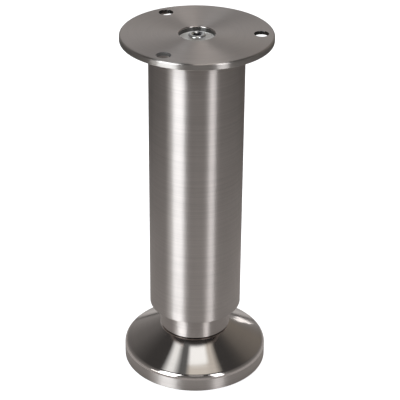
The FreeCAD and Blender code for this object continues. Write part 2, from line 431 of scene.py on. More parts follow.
class NodeKit:
    """Places and links the nodes of one material, or of the world."""

    def __init__(self, name: str, world: bool = False) -> None:
        """Makes an empty node material, or world, of that name.

        Args:
            name: Name of the material or world.
            world: True for a world.
        """
        self.owner = (bpy.data.worlds if world else bpy.data.materials).new(name)
        self.owner.use_nodes = True
        self.tree = self.owner.node_tree
        self.tree.nodes.clear()

    def add(self, kind: str, settings: dict | None = None, **inputs: object) -> bpy.types.Node:
        """Places a node.

        Args:
            kind: Blender's name of the node, after ShaderNode.
            settings: Properties of the node.
            inputs: Sockets by name with _ for a space, or by number as _0; a value, or an output to link.

        Returns:
            The node.
        """
        node = self.tree.nodes.new("ShaderNode" + kind)
        for key, value in (settings or {}).items():
            setattr(node, key, value)
        for key, value in inputs.items():
            socket = node.inputs[int(key[1:])] if key[0] == "_" else node.inputs[key.replace("_", " ")]
            if isinstance(value, Socket):
                self.tree.links.new(value, socket)
            else:
                socket.default_value = value
        return node

    def math(self, operation: str, first: object, second: object = 0.0) -> Socket:
        """Output of a Math node."""
        return self.add("Math", {"operation": operation}, _0=first, _1=second).outputs[0]

    def vector(self, operation: str, first: object, second: object = (0.0, 0.0, 0.0)) -> bpy.types.Node:
        """Vector Math node."""
        return self.add("VectorMath", {"operation": operation}, _0=first, _1=second)

    def span(self, value: object, low: float, high: float, to_low: float, to_high: float) -> Socket:
        """Output of a Map Range node from low..high to to_low..to_high."""
        return self.add("MapRange", None, _0=value, _1=low, _2=high, _3=to_low, _4=to_high).outputs[0]

    def weigh(self, first: Socket, second: Socket, share: float) -> Socket:
        """Sum of two values, of which the second has the share."""
        return self.math("ADD", self.math("MULTIPLY", first, 1.0 - share), self.math("MULTIPLY", second, share))

    def object_place(self) -> Socket:
        """Object coordinates."""
        return self.add("TexCoord").outputs["Object"]

    def lay(self) -> Socket:
        """Coordinates that follow the brushing: direction from the axis in X and Y, radius minus height in Z."""
        place = self.object_place()
        flat = self.off_axis(place)
        radius = self.vector("LENGTH", flat).outputs["Value"]
        ray = self.add("SeparateXYZ", None, _0=self.vector("NORMALIZE", flat).outputs[0])
        height = self.add("SeparateXYZ", None, _0=place).outputs[2]
        along = self.math("SUBTRACT", radius, height)
        return self.add("CombineXYZ", None, _0=ray.outputs[0], _1=ray.outputs[1], _2=along).outputs[0]

    def off_axis(self, place: Socket) -> Socket:
        """Place without its height."""
        return self.vector("MULTIPLY", place, (1.0, 1.0, 0.0)).outputs[0]

    def noise(self, place: Socket, scale: float | tuple[float, float, float], octaves: float) -> Socket:
        """Noise on a place that is scaled evenly, or on each axis."""
        scaled = self.vector("MULTIPLY", place, scale if isinstance(scale, tuple) else (scale,) * 3).outputs[0]
        return self.add("TexNoise", None, Vector=scaled, Scale=1.0, Detail=octaves).outputs[0]

    def blend(self, share: object, first: object, second: object) -> Socket:
        """Colour between first and second."""
        return self.add("Mix", {"data_type": "RGBA"}, _0=share, _6=first, _7=second).outputs[2]

    def one_sided(self, shader: Socket) -> Socket:
        """Shader that is clear from behind."""
        clear = self.add("BsdfTransparent").outputs[0]
        behind = self.add("NewGeometry").outputs["Backfacing"]
        return self.add("MixShader", None, _0=behind, _1=shader, _2=clear).outputs[0]

    def output(self, shader: Socket) -> Material | bpy.types.World:
        """Links the shader to the surface and hands the material or world back."""
        self.add("OutputWorld" if isinstance(self.owner, bpy.types.World) else "OutputMaterial", None, Surface=shader)
        return self.owner


def opaque(colour: Colour, gain: float = 1.0) -> tuple[float, float, float, float]:
    """Colour times a gain, with full alpha."""
    return (colour[0] * gain, colour[1] * gain, colour[2] * gain, 1.0)


@dataclass(frozen=True)
class Finish:
    """Finish of a piece: the name of its material, its slot in the record, its roughness and its relief.

    A noise moves the roughness by rough_spread either way. relief is the bump's strength and relief_depth its height.
    """

    name: str
    slot: Slot
    roughness: float = 0.41
    rough_spread: float = 0.06
    relief: float = 0.12
    relief_depth: float = 0.02 * MM

    def material(self) -> Material:
        """The finish's material, made at its first use."""
        return bpy.data.materials.get(self.name) or self.make()

    def make(self) -> Material:
        """Builds the material; each kind of finish has its own way."""
        raise NotImplementedError

    def shaded(self, kit: NodeKit, tint: Socket, rough: Socket, height: Socket, **inputs: object) -> Material:
        """Closes a material with a shader whose roughness and bump follow noises.

        Args:
            kit: The material's nodes.
            tint: Its colour.
            rough: Noise of the roughness.
            height: Noise of the bump.
            inputs: Further sockets of the shader.

        Returns:
            The material.
        """
        spread = kit.span(rough, *NOISE_SPAN, self.roughness - self.rough_spread, self.roughness + self.rough_spread)
        bump = kit.add("Bump", None, Strength=self.relief, Distance=self.relief_depth, Height=height).outputs[0]
        shader = kit.add("BsdfPrincipled", None, Base_Color=tint, Roughness=spread, Normal=bump, **inputs)
        return kit.output(shader.outputs[0])


@dataclass(frozen=True)
class BrushedSteel(Finish):
    """Steel with fine marks round the axis: brushed, turned or polished.

    stretch is the anisotropy that draws highlights out across the marks. marks is the count of fine mark lines per
    metre, arcs sets how short the marks are round the axis, and wide marks have wide_marks and wide_arcs times these.
    fine_share is the fine marks' share of all marks, and cloud_share the clouds' share of the roughness.
    """

    colour: Colour = (0.642, 0.585, 0.556)
    stretch: float = 1.0
    marks: float = 2600.0
    arcs: float = 1.6
    shade: float = 0.07
    clouds: float = 30.0
    metal: float = 1.0
    wide_marks: float = 0.22
    wide_arcs: float = 0.7
    fine_share: float = 0.6
    cloud_share: float = 0.25

    def make(self) -> Material:
        """Marks vary the colour, roughness and height; broad clouds vary the roughness a little more."""
        kit = NodeKit(self.name)
        lay = kit.lay()
        fine = kit.noise(lay, (self.arcs, self.arcs, self.marks), SOME_OCTAVES)
        long = self.arcs * self.wide_arcs
        wide = kit.noise(lay, (long, long, self.marks * self.wide_marks), FEW_OCTAVES)
        cloud = kit.noise(kit.object_place(), self.clouds, FEW_OCTAVES)
        marks = kit.weigh(wide, fine, self.fine_share)
        mottled = kit.weigh(marks, cloud, self.cloud_share)
        tint = kit.blend(kit.span(marks, *NOISE_SPAN, 0.0, 1.0), opaque(self.colour, 1.0 - self.shade),
                         opaque(self.colour, 1.0 + self.shade))
        across = kit.add("Tangent", {"direction_type": "UV_MAP", "uv_map": "UVMap"}).outputs[0]
        return self.shaded(kit, tint, mottled, marks, Metallic=self.metal, Anisotropic=self.stretch, Tangent=across)


@dataclass(frozen=True)
class ZincPlate(Finish):
    """Bright zinc plate: two close tints in clouds, with a faint grain in roughness and height."""

    roughness: float = 0.2
    relief: float = 0.1
    cool: Colour = (0.80, 0.81, 0.84)
    warm: Colour = (0.83, 0.82, 0.79)
    grain: float = 2400.0
    clouds: float = 220.0
    cloud_span: tuple[float, float] = (0.35, 0.65)

    def make(self) -> Material:
        """Clouds blend the tints, and the grain drives roughness and bump."""
        kit = NodeKit(self.name)
        place = kit.object_place()
        cloud = kit.noise(place, self.clouds, SOME_OCTAVES)
        grain = kit.noise(place, self.grain, FEW_OCTAVES)
        tint = kit.blend(kit.span(cloud, *self.cloud_span, 0.0, 1.0), opaque(self.cool), opaque(self.warm))
        return self.shaded(kit, tint, grain, grain, Metallic=1.0)


@dataclass(frozen=True)
class Moulding(Finish):
    """Moulded plastic or rubber: a dark body colour with a spark-eroded grain and faint scuffs."""

    roughness: float = 0.55
    rough_spread: float = 0.08
    relief: float = 0.35
    relief_depth: float = 0.03 * MM
    colour: Colour = (0.032, 0.032, 0.033)
    scuff: Colour = (0.06, 0.06, 0.06)
    grain: float = 3200.0
    clouds: float = 90.0
    cloud_span: tuple[float, float] = (0.45, 0.75)

    def make(self) -> Material:
        """Scuff clouds lighten the colour; the grain gives roughness and bump."""
        kit = NodeKit(self.name)
        place = kit.object_place()
        grain = kit.noise(place, self.grain, SOME_OCTAVES)
        cloud = kit.noise(place, self.clouds, MANY_OCTAVES)
        tint = kit.blend(kit.span(cloud, *self.cloud_span, 0.0, 1.0), opaque(self.colour), opaque(self.scuff))
        return self.shaded(kit, tint, grain, grain)


TUBE_STEEL = BrushedSteel("tube_steel_brushed_round", Slot.TUBE, arcs=0.7, shade=0.1, rough_spread=0.07)
PLATE_STEEL = BrushedSteel("plate_steel_brushed_in_circles", Slot.PLATE, roughness=0.36, stretch=0.85, arcs=2.2)
# Plate edge: its colour is a little darker than the plate steel's, as painted shade on the lip.
EDGE_STEEL_PAINTED_SHADE = BrushedSteel("plate_edge_steel_rolled_painted_shade", Slot.PLATE, colour=(0.595, 0.55, 0.52), roughness=0.33,
                          shade=0.04, relief=0.05)
# Recess wall: steel darkened to about a quarter of its colour, painted shade in the recess; its highlights come from
# the shader.
RECESS_WALL_PAINTED_SHADE = BrushedSteel("recess_wall_steel_painted_shade", Slot.PLATE, colour=(0.15, 0.145, 0.14), roughness=0.34, stretch=1.0,
                           marks=900.0, shade=0.04)
# Walls of the holes but the front one: steel darkened to about a quarter of its colour, painted shade inside the holes.
HOLE_WALL_PAINTED_SHADE = BrushedSteel("hole_wall_steel_painted_shade", Slot.PLATE, colour=(0.15, 0.145, 0.14), roughness=0.2, stretch=0.3,
                          marks=900.0, shade=0.04)
# Wall of the front hole: a lighter, half-metal copy of the hole steel, painted light that stands in for the lit tube
# behind the hole.
FRONT_HOLE_PAINTED_LIGHT = BrushedSteel("front_hole_steel_painted_light", Slot.PLATE, colour=(0.17, 0.163, 0.157), roughness=0.3,
                          stretch=0.0, metal=0.5)
MOUTH_STEEL = BrushedSteel("recess_mouth_steel_bright", Slot.PLATE, roughness=0.16, stretch=0.3, marks=900.0,
                           shade=0.04)
# Recess floor: near-white and mostly mat, painted light that makes the floor read as lit.
RECESS_FLOOR_PAINTED_LIGHT = BrushedSteel("recess_floor_steel_painted_light", Slot.PLATE, colour=(0.9, 0.88, 0.85), roughness=0.5, stretch=0.0,
                         marks=900.0, shade=0.04, metal=0.3)
RIM_STEEL = BrushedSteel("rim_steel_brushed_round", Slot.POLISHED, arcs=0.7, shade=0.1, rough_spread=0.07)
CONE_STEEL = BrushedSteel("cone_steel_polished", Slot.POLISHED, roughness=0.12, stretch=0.5, shade=0.03,
                          rough_spread=0.03, relief=0.04)
UNDER_STEEL = BrushedSteel("underside_steel_turned", Slot.POLISHED, colour=(0.5, 0.48, 0.46), roughness=0.42,
                           stretch=0.7, marks=1400.0, shade=0.1)
PLUG_STEEL = BrushedSteel("plug_steel_turned", Slot.PLAIN, colour=(0.42, 0.41, 0.40), roughness=0.4, stretch=0.6,
                          marks=1200.0, shade=0.1)
ZINC = ZincPlate("zinc_plate_bright", Slot.ZINC)
# Inside the screw's socket the zinc is darkened to about a quarter, as painted shade in the socket.
SOCKET_PAINTED_SHADE = ZincPlate("zinc_plate_painted_shade_in_socket", Slot.ZINC, cool=(0.22, 0.22, 0.26), warm=(0.25, 0.24, 0.24),
                         roughness=0.35)
BLACK_PLASTIC = Moulding("plastic_black_moulded", Slot.PLASTIC)
PAD_RUBBER = Moulding("rubber_black_matt", Slot.RUBBER, colour=(0.04, 0.04, 0.04), scuff=(0.075, 0.073, 0.07),
                      roughness=0.8, grain=2200.0, relief_depth=0.05 * MM)


def node_span(node: str) -> tuple[float, float, float]:
    """Outer radius, lowest and highest height of a turned CAD node."""
    low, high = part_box(node)
    return high.y, low.z, high.z


def seat(piece: Piece, body: Body, node: str) -> None:
    """Lets a piece ride on its body in the place of its CAD node, and logs it.

    Args:
        piece: The new piece.
        body: Body that carries it.
        node: CAD node that it stands for.
    """
    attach(piece, body.value)
    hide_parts(node)
    log.info("%s stands for %s: %d faces", piece.name, node, len(piece.data.polygons))


def dress_node(node: str, finish: Finish) -> None:
    """Gives a CAD node that stays its finish."""
    mesh = frame["nodes"][node].data
    mesh.materials.clear()
    mesh.materials.append(finish.material())
    log.info("%s keeps its CAD shape and wears %s", node, finish.name)


def chamfered(radius: float, height: float, size: float, band: int = 0) -> list[Corner]:
    """Two corners of the chamfer at a lower outer edge.

    Args:
        radius: Radius of the sharp edge.
        height: Height of the sharp edge.
        size: Leg of the chamfer.
        band: Finish of the chamfer and what follows.

    Returns:
        The corner on the lower face and the corner on the outer wall.
    """
    return [Corner(radius - size, height, CHAMFER_ROUNDING, band),
            Corner(radius, height + size, CHAMFER_ROUNDING, band)]


@dataclass
class MountingHead:
    """Pressed plate with its recess and holes, the screw in the recess, and the plug under it.

    hole_lead is the length of the flats that lead into a hole's rounded edges, in roundings.
    """

    sheet: float = 2.0 * MM
    lip_height: float = 3.4 * MM
    edge_radius: float = 0.9 * MM
    lip_rounding: float = 0.3 * MM
    recess_radius: float = 9.5 * MM
    recess_mouth: float = 0.5 * MM
    recess_foot: float = 0.4 * MM
    screw_hole_radius: float = 3.3 * MM
    hole_rounding: float = 0.22 * MM
    hole_lead: float = 4.0
    hole_sector: float = math.radians(25.0)
    flat_inner: float = 24.0 * MM
    flat_outer: float = 37.6 * MM
    sector_steps: int = 40
    flat_rows: int = 12
    screw_radius: float = 3.0 * MM
    screw_pitch: float = 1.0 * MM
    screw_runout: float = 1.5 * MM
    head_radius: float = 4.5 * MM
    head_height: float = 2.9 * MM
    head_rounding: float = 0.9 * MM
    socket_across_flats: float = 4.0 * MM
    socket_mouth: float = 3.0 * MM
    socket_chamfer: float = math.radians(28.0)
    socket_depth: float = 1.9 * MM
    socket_cone: float = 0.4 * MM
    radius: float = field(init=False)
    top: float = field(init=False)
    under: float = field(init=False)
    hole_radius: float = field(init=False)
    hole_circle: float = field(init=False)
    hole_count: int = field(init=False)

    def __post_init__(self) -> None:
        """Takes the plate's outer sizes from the frame and its holes from the record's bolt pattern."""
        self.radius, self.under, self.top = node_span("mounting_plate")
        pattern = next(m for m in frame["record"]["mounts"] if m["kind"] == "bolt_pattern")["dims"]
        self.hole_radius = pattern["hole_r_mm"] * MM
        self.hole_circle = pattern["pcd_mm"] / 2.0 * MM
        self.hole_count = int(pattern["count"])

    def build(self) -> None:
        """Builds the plate and its screw, and dresses the plug."""
        seat(self.plate(), Body.COLUMN, "mounting_plate")
        seat(self.screw(), Body.COLUMN, "plate_screw")
        dress_node("top_plug", PLUG_STEEL)

    @property
    def floor(self) -> float:
        """Height of the recess's floor."""
        return self.under + self.sheet

    def plate(self) -> Piece:
        """Plate: turned edge and recess, two flat rings with holes, and the holes' walls."""
        web = self.top - self.sheet
        lip = self.top - self.lip_height
        inside = self.radius - self.sheet
        cup = self.recess_radius + self.sheet
        edge = section_outline([
            Corner(self.flat_outer, web),
            Corner(inside, web, self.lip_rounding),
            Corner(inside, lip, self.lip_rounding),
            Corner(self.radius, lip, self.lip_rounding, PlateBand.EDGE),
            Corner(self.radius, self.top, self.edge_radius, PlateBand.EDGE),
            Corner(self.radius - self.edge_radius, self.top, 0.0),
            Corner(self.flat_outer, self.top),
        ], closed=False)
        recess = section_outline([
            Corner(self.flat_inner, self.top),
            Corner(self.recess_radius, self.top, self.recess_mouth, PlateBand.RECESS_MOUTH),
            Corner(self.recess_radius, self.top - self.recess_mouth, 0.0, PlateBand.RECESS_WALL),
            Corner(self.recess_radius, self.floor, self.recess_foot, PlateBand.RECESS_FLOOR),
            Corner(self.screw_hole_radius, self.floor, band=PlateBand.RECESS_WALL),
            Corner(self.screw_hole_radius, self.under),
            Corner(cup, self.under, self.lip_rounding),
            Corner(cup, web, self.lip_rounding),
            Corner(self.flat_inner, web),
        ], closed=False)
        patches = [lathe(edge), lathe(recess)]
        for index in range(self.hole_count):
            turn = FULL_TURN * index / self.hole_count
            patches += self.holed_sector(turn, self.top, 1.0)
            patches += self.holed_sector(turn, web, -1.0)
            # The front hole's wall wears the painted-light steel, the other holes' walls the painted-shade steel.
            in_front = index == self.hole_count - 1
            patches.append(self.hole_wall(turn, web, PlateBand.FRONT_HOLE if in_front else PlateBand.HOLE))
        finishes = {
            PlateBand.FLAT: PLATE_STEEL,
            PlateBand.RECESS_WALL: RECESS_WALL_PAINTED_SHADE,
            PlateBand.EDGE: EDGE_STEEL_PAINTED_SHADE,
            PlateBand.RECESS_FLOOR: RECESS_FLOOR_PAINTED_LIGHT,
            PlateBand.RECESS_MOUTH: MOUTH_STEEL,
            PlateBand.HOLE: HOLE_WALL_PAINTED_SHADE,
            PlateBand.FRONT_HOLE: FRONT_HOLE_PAINTED_LIGHT,
        }
        return Weld("plate_with_turned_edge", patches, [finishes[band] for band in PlateBand]).piece()

    def sector_border(self) -> Array:
        """Border of a hole's sector in radius and angle from the hole, counterclockwise and closed."""
        wide = np.linspace(-self.hole_sector, self.hole_sector, self.sector_steps + 1)
        deep = np.linspace(self.flat_outer, self.flat_inner, self.flat_rows + 1)
        sides = [
            grid(self.flat_outer, wide[:-1]),
            grid(deep[:-1], self.hole_sector),
            grid(self.flat_inner, wide[:0:-1]),
            grid(deep[:0:-1], -self.hole_sector),
        ]
        border = np.concatenate(sides)
        return np.concatenate([border, border[:1]])

    def hole_rays(self) -> Array:
        """Unit rays from a hole's centre to its sector's border, for a hole on +X."""
        radius, angle = self.sector_border().T
        ray = grid(radius * np.cos(angle) - self.hole_circle, radius * np.sin(angle))
        return ray / np.linalg.norm(ray, axis=1, keepdims=True)

    @staticmethod
    def turned(points: Array, turn: float) -> Array:
        """Points turned about Z."""
        cos, sin = math.cos(turn), math.sin(turn)
        x, y = points[..., 0], points[..., 1]
        return grid(cos * x - sin * y, sin * x + cos * y, points[..., 2])

    def charted(self, points: Array, facing: float) -> Patch:
        """Flat patch at right angles to the axis, charted by radius and share of the turn."""
        radius = np.hypot(points[..., 0], points[..., 1])
        turn = np.arctan2(points[..., 1], points[..., 0]) - SEAM_ANGLE
        middle = np.arctan2(points[..., 1].mean(), points[..., 0].mean()) - SEAM_ANGLE
        turn = np.mod(turn - middle + math.pi, FULL_TURN) - math.pi + np.mod(middle, FULL_TURN)
        chart = grid(radius / self.radius, turn / FULL_TURN)
        normals = np.broadcast_to([0.0, 0.0, facing], points.shape)
        return Patch(points, normals, chart, np.zeros(points.shape[0] - 1, int))

    def holed_sector(self, turn: float, height: float, facing: float) -> list[Patch]:
        """Flat third of the plate: the sector with the hole and the plain sector after it.

        In the first, a point at share s on ray t is (1 - s) times the hole's edge plus s times the sector's border. The
        second is a polar grid.

        Args:
            turn: Angle of the hole.
            height: Height of the flat face.
            facing: 1 for the upper face, -1 for the lower.

        Returns:
            The two patches.
        """
        far, wide = self.sector_border().T
        outer = grid(far * np.cos(wide), far * np.sin(wide))
        inner = np.array([self.hole_circle, 0.0]) + self.hole_rays() * (self.hole_radius + self.hole_rounding)
        share = np.linspace(0.0, 1.0, self.flat_rows + 1)[:, None, None]
        flat = (1.0 - share) * inner + share * outer
        holed = grid(flat[..., 0], flat[..., 1], height)
        plain_steps = TURN_STEPS // self.hole_count - self.sector_steps
        angle = np.linspace(self.hole_sector, FULL_TURN / self.hole_count - self.hole_sector, plain_steps + 1)
        radius = np.linspace(self.flat_inner, self.flat_outer, self.flat_rows + 1)[:, None]
        plain = grid(radius * np.cos(angle), radius * np.sin(angle), height)
        return [self.charted(self.turned(holed, turn), facing), self.charted(self.turned(plain, turn), facing)]

    def hole_wall(self, turn: float, web: float, band: int) -> Patch:
        """Wall of a hole with both edges rounded: the hole's outline carried round the hole's own axis.

        Args:
            turn: Angle of the hole.
            web: Height of the plate's lower face.
            band: Number of the wall's finish.

        Returns:
            The patch, whose normals look to the hole's axis.
        """
        lead = self.hole_radius + self.hole_lead * self.hole_rounding
        outline = section_outline([
            Corner(lead, self.top),
            Corner(self.hole_radius, self.top, self.hole_rounding),
            Corner(self.hole_radius, web, self.hole_rounding),
            Corner(lead, web),
        ], closed=False)
        arcs = slice(ARC_STEPS + 1, -(ARC_STEPS + 1))
        x, y = self.hole_rays().T
        spots, looks = outline.points[arcs], outline.normals[arcs]
        points = grid(self.hole_circle + spots[:, :1] * x, spots[:, :1] * y, spots[:, 1:])
        normals = grid(looks[:, :1] * x, looks[:, :1] * y, looks[:, 1:])
        chart = grid(np.linspace(0.0, 1.0, len(spots))[:, None], np.linspace(0.0, 1.0, len(x)))
        return Patch(self.turned(points, turn), self.turned(normals, turn), chart, np.full(len(spots) - 1, band))

    def screw(self) -> Piece:
        """Socket screw: threaded shank, turned head, and a hexagon socket with a coned floor."""
        end = node_span("plate_screw")[1]
        core = thread_core(self.screw_radius, self.screw_pitch)
        head = self.floor + self.head_height
        runout = self.floor - self.screw_runout
        tip = disc(end, 0.0, core)
        body = section_outline([
            Corner(core, runout),
            Corner(self.screw_radius, runout + self.screw_radius - core),
            Corner(self.screw_radius, self.floor),
            Corner(self.head_radius, self.floor),
            Corner(self.head_radius, head, self.head_rounding),
            Corner(self.socket_mouth, head),
        ], closed=False)
        hexagon = hexagon_radius(self.socket_across_flats)
        bottom = head - self.socket_depth
        even = np.ones_like(hexagon)
        mouth = head - (self.socket_mouth - hexagon) * math.tan(self.socket_chamfer)
        chamfer = turned_rows(np.stack([self.socket_mouth * even, hexagon]), np.stack([head * even, mouth]))
        inside = turned_rows(np.stack([hexagon, hexagon, 0.0 * even]),
                             np.stack([mouth, bottom * even, (bottom - self.socket_cone) * even]), TurnedBand.INSIDE)
        patches = [
            lathe(tip, FINE_STEPS),
            thread(self.screw_radius, self.screw_pitch, end, runout),
            lathe(body, FINE_STEPS),
            chamfer,
            inside,
        ]
        return Weld("screw_with_hexagon_socket", patches, [ZINC, SOCKET_PAINTED_SHADE], Shading.CREASED).piece()


@dataclass
class Column:
    """Brushed tube with the guide bush in its lower end and the threaded plug above it."""

    tube_wall: float = 1.5 * MM
    tube_edge: float = 0.3 * MM
    bush_edge: float = 0.6 * MM
    bush_wall: float = 4.22 * MM
    groove_depth: float = 0.8 * MM
    groove_width: float = 6.0 * MM

    def build(self) -> None:
        """Builds the tube and the bush, and dresses the plug."""
        seat(self.tube(), Body.COLUMN, "column_tube")
        seat(self.bush(), Body.COLUMN, "guide_bush")
        dress_node("lower_plug", PLUG_STEEL)

    def tube(self) -> Piece:
        """Tube: a ring's section with rounded edges, turned."""
        radius, low, high = node_span("column_tube")
        section = ring(radius - self.tube_wall, radius, low, high, self.tube_edge, TurnedBand.INSIDE)
        return Weld("tube_brushed", [lathe(section)], [TUBE_STEEL, PLUG_STEEL]).piece()

    def bush(self) -> Piece:
        """Bush: a ring with rounded edges and a relief groove round the middle of its bore."""
        radius, low, high = node_span("guide_bush")
        bore = radius - self.bush_wall
        groove = bore + self.groove_depth
        groove_low = (low + high - self.groove_width) / 2.0
        groove_high = (low + high + self.groove_width) / 2.0
        section = section_outline([
            Corner(bore, low, self.bush_edge),
            Corner(radius, low, self.bush_edge),
            Corner(radius, high, self.bush_edge),
            Corner(bore, high, self.bush_edge),
            Corner(bore, groove_high),
            Corner(groove, groove_high),
            Corner(groove, groove_low),
            Corner(bore, groove_low),
        ])
        return Weld("bush_moulded", [lathe(section)], [BLACK_PLASTIC]).piece()


@dataclass
class Adjuster:
    """What turns by hand: the sleeve, the height screw and the nuts on it.

    nut_face is the radius of a nut's flat face, as a share of the distance from its axis to its flats.
    """

    sleeve_wall: float = 1.5 * MM
    sleeve_chamfer: float = 0.4 * MM
    spindle_pitch: float = 1.5 * MM
    pivot_radius: float = 4.0 * MM
    pivot_pitch: float = 1.25 * MM
    thread_spare: float = 0.8 * MM
    nut_chamfer: float = math.radians(30.0)
    nut_bore_edge: float = 0.45 * MM
    nut_face: float = 0.96
    thread_clearance: float = 0.04 * MM
    washer_edge: float = 0.2 * MM

    def build(self) -> None:
        """Builds the sleeve, spindle, washer and nuts, and dresses the plug."""
        seat(self.sleeve(), Body.ADJUSTER, "collar_sleeve")
        seat(self.spindle(), Body.ADJUSTER, "spindle")
        seat(self.nut("nut_on_pivot", "retaining_nut", self.pivot_radius), Body.ADJUSTER, "retaining_nut")
        spindle_radius = node_span("spindle")[0]
        seat(self.nut("nut_on_plug", "spindle_lock_nut", spindle_radius), Body.ADJUSTER, "spindle_lock_nut")
        seat(self.washer(), Body.ADJUSTER, "retaining_washer")
        dress_node("collar_plug", PLUG_STEEL)

    def sleeve(self) -> Piece:
        """Sleeve: a ring's section with chamfered outer edges, turned."""
        radius, low, high = node_span("collar_sleeve")
        bore = radius - self.sleeve_wall
        size = self.sleeve_chamfer
        section = section_outline([
            Corner(bore, low),
            *chamfered(radius, low, size),
            Corner(radius, high - size),
            Corner(radius - size, high),
            Corner(bore, high, band=TurnedBand.INSIDE),
        ])
        return Weld("sleeve_brushed", [lathe(section)], [TUBE_STEEL, PLUG_STEEL]).piece()

    def spindle(self) -> Piece:
        """Height screw: threaded pivot end, plain pivot, shoulder and threaded length, between two flat ends."""
        radius, low, high = node_span("spindle")
        shoulder = node_span("collar_sleeve")[1]
        nut_top = node_span("retaining_nut")[2] + self.thread_spare
        pivot_core = thread_core(self.pivot_radius, self.pivot_pitch)
        core = thread_core(radius, self.spindle_pitch)
        tip = disc(low, 0.0, pivot_core)
        pivot = section_outline([
            Corner(pivot_core, nut_top),
            Corner(self.pivot_radius, nut_top + self.pivot_radius - pivot_core),
            Corner(self.pivot_radius, shoulder),
            Corner(core, shoulder),
        ], closed=False)
        cap = disc(high, core, 0.0)
        patches = [
            lathe(tip, FINE_STEPS),
            thread(self.pivot_radius, self.pivot_pitch, low, nut_top),
            lathe(pivot, FINE_STEPS),
            thread(radius, self.spindle_pitch, shoulder, high),
            lathe(cap, FINE_STEPS),
        ]
        return Weld("spindle_threaded", patches, [ZINC], Shading.CREASED).piece()

    def nut(self, name: str, node: str, thread_radius: float) -> Piece:
        """Hexagon nut: rows from the bore over the lower face, the coned corners, the flats and the upper face.

        The cones leave each face at its own circle and drop by (radius - that circle) * tan(chamfer angle).

        Args:
            name: Name of the piece.
            node: CAD node that gives its place.
            thread_radius: Major radius of its thread.

        Returns:
            The nut.
        """
        flats, low, high = node_span(node)
        hexagon = hexagon_radius(2.0 * flats)
        even = np.ones_like(hexagon)
        bore = (thread_radius + self.thread_clearance) * even
        mouth = bore + self.nut_bore_edge
        face = self.nut_face * flats * even
        drop = (hexagon - face) * math.tan(self.nut_chamfer)
        bottom, top = low * even, high * even
        bore_low, bore_high = bottom + self.nut_bore_edge, top - self.nut_bore_edge
        radii = np.stack([bore, mouth, face, hexagon, hexagon, face, mouth, bore, bore])
        heights = np.stack([bore_low, bottom, bottom, low + drop, high - drop, top, top, bore_high, bore_low])
        return Weld(name, [turned_rows(radii, heights)], [ZINC], Shading.CREASED).piece()

    def washer(self) -> Piece:
        """Punched washer: a ring's section with rounded edges, turned."""
        radius, low, high = node_span("retaining_washer")
        section = ring(self.pivot_radius + self.thread_clearance, radius, low, high, self.washer_edge)
        return Weld("washer_plated", [lathe(section, FINE_STEPS)], [ZINC]).piece()


@dataclass
class SwivelFoot:
    """Flared foot with its brushed rim and polished cone, the pad under it and the washer on it."""

    shoulder_radius: float = 3.5 * MM
    cone_angle: float = math.radians(28.7)
    neck_inset: float = 0.2 * MM
    neck_rounding: float = 0.1 * MM
    wall: float = 4.0 * MM
    rim_land: float = 3.0 * MM
    edge: float = 0.4 * MM
    boss_radius: float = 11.0 * MM
    boss_gap: float = 0.05 * MM
    bore_radius: float = 4.06 * MM
    cavity_rounding: float = 1.5 * MM
    pad_width: float = 7.0 * MM
    pad_edge: float = 0.5 * MM
    seat_clearance: float = 0.02 * MM
    washer_edge: float = 0.15 * MM

    def build(self) -> None:
        """Builds the shell, the pad and the washer."""
        seat(self.shell(), Body.FOOT, "foot_shell")
        seat(self.pad(), Body.FOOT, "foot_pad")
        seat(self.thrust_washer(), Body.FOOT, "thrust_washer")

    def shell(self) -> Piece:
        """Foot: underside with the pad's groove, cavity and boss, then rim, shoulder, cone and neck, turned."""
        radius, low, high = node_span("foot_shell")
        neck = node_span("collar_sleeve")[0] - self.neck_inset
        slope = math.tan(self.cone_angle)
        shoulder = high - (radius - neck) * slope
        groove_top = node_span("foot_pad")[2]
        groove_out = radius - self.rim_land
        groove_in = groove_out - self.pad_width
        cavity = groove_in - self.rim_land
        ceiling = high - self.wall / math.cos(self.cone_angle)
        cavity_edge = ceiling - (cavity - neck) * slope
        boss = node_span("retaining_washer")[2] + self.boss_gap
        under = FootBand.UNDERSIDE
        section = section_outline([
            Corner(self.bore_radius, high, band=under),
            Corner(self.bore_radius, boss, band=under),
            *chamfered(self.boss_radius, boss, self.edge, under),
            Corner(self.boss_radius, ceiling, self.cavity_rounding, under),
            Corner(neck, ceiling, band=under),
            Corner(cavity, cavity_edge, self.cavity_rounding, under),
            Corner(cavity, low + self.edge, band=under),
            Corner(cavity + self.edge, low, band=under),
            Corner(groove_in, low, band=under),
            Corner(groove_in, groove_top, band=under),
            Corner(groove_out, groove_top, band=under),
            Corner(groove_out, low, band=under),
            *chamfered(radius, low, self.edge, FootBand.RIM),
            Corner(radius, shoulder, self.shoulder_radius, FootBand.CONE),
            Corner(neck + self.edge, high - self.edge * slope, self.neck_rounding),
            Corner(neck - self.edge, high, self.neck_rounding),
        ])
        return Weld("foot_flared", [lathe(section)], [CONE_STEEL, RIM_STEEL, UNDER_STEEL]).piece()

    def pad(self) -> Piece:
        """Pad: a ring with rounded edges in the foot's groove."""
        radius, low, high = node_span("foot_pad")
        section = ring(radius - self.pad_width + 2.0 * self.seat_clearance, radius, low, high, self.pad_edge)
        return Weld("pad_rubber_ring", [lathe(section)], [PAD_RUBBER]).piece()

    def thrust_washer(self) -> Piece:
        """Washer: a flat ring with rounded edges on the foot's top."""
        section = ring(self.bore_radius, *node_span("thrust_washer"), self.washer_edge)
        return Weld("washer_thrust", [lathe(section, FINE_STEPS)], [BLACK_PLASTIC]).piece()


def direction(turn: Array | float, climb: Array | float) -> Array:
    """Unit direction at azimuth a from the camera's side and elevation e: (cos e sin a, -cos e cos a, sin e)."""
    return grid(np.cos(climb) * np.sin(turn), -np.cos(climb) * np.cos(turn), np.sin(climb))


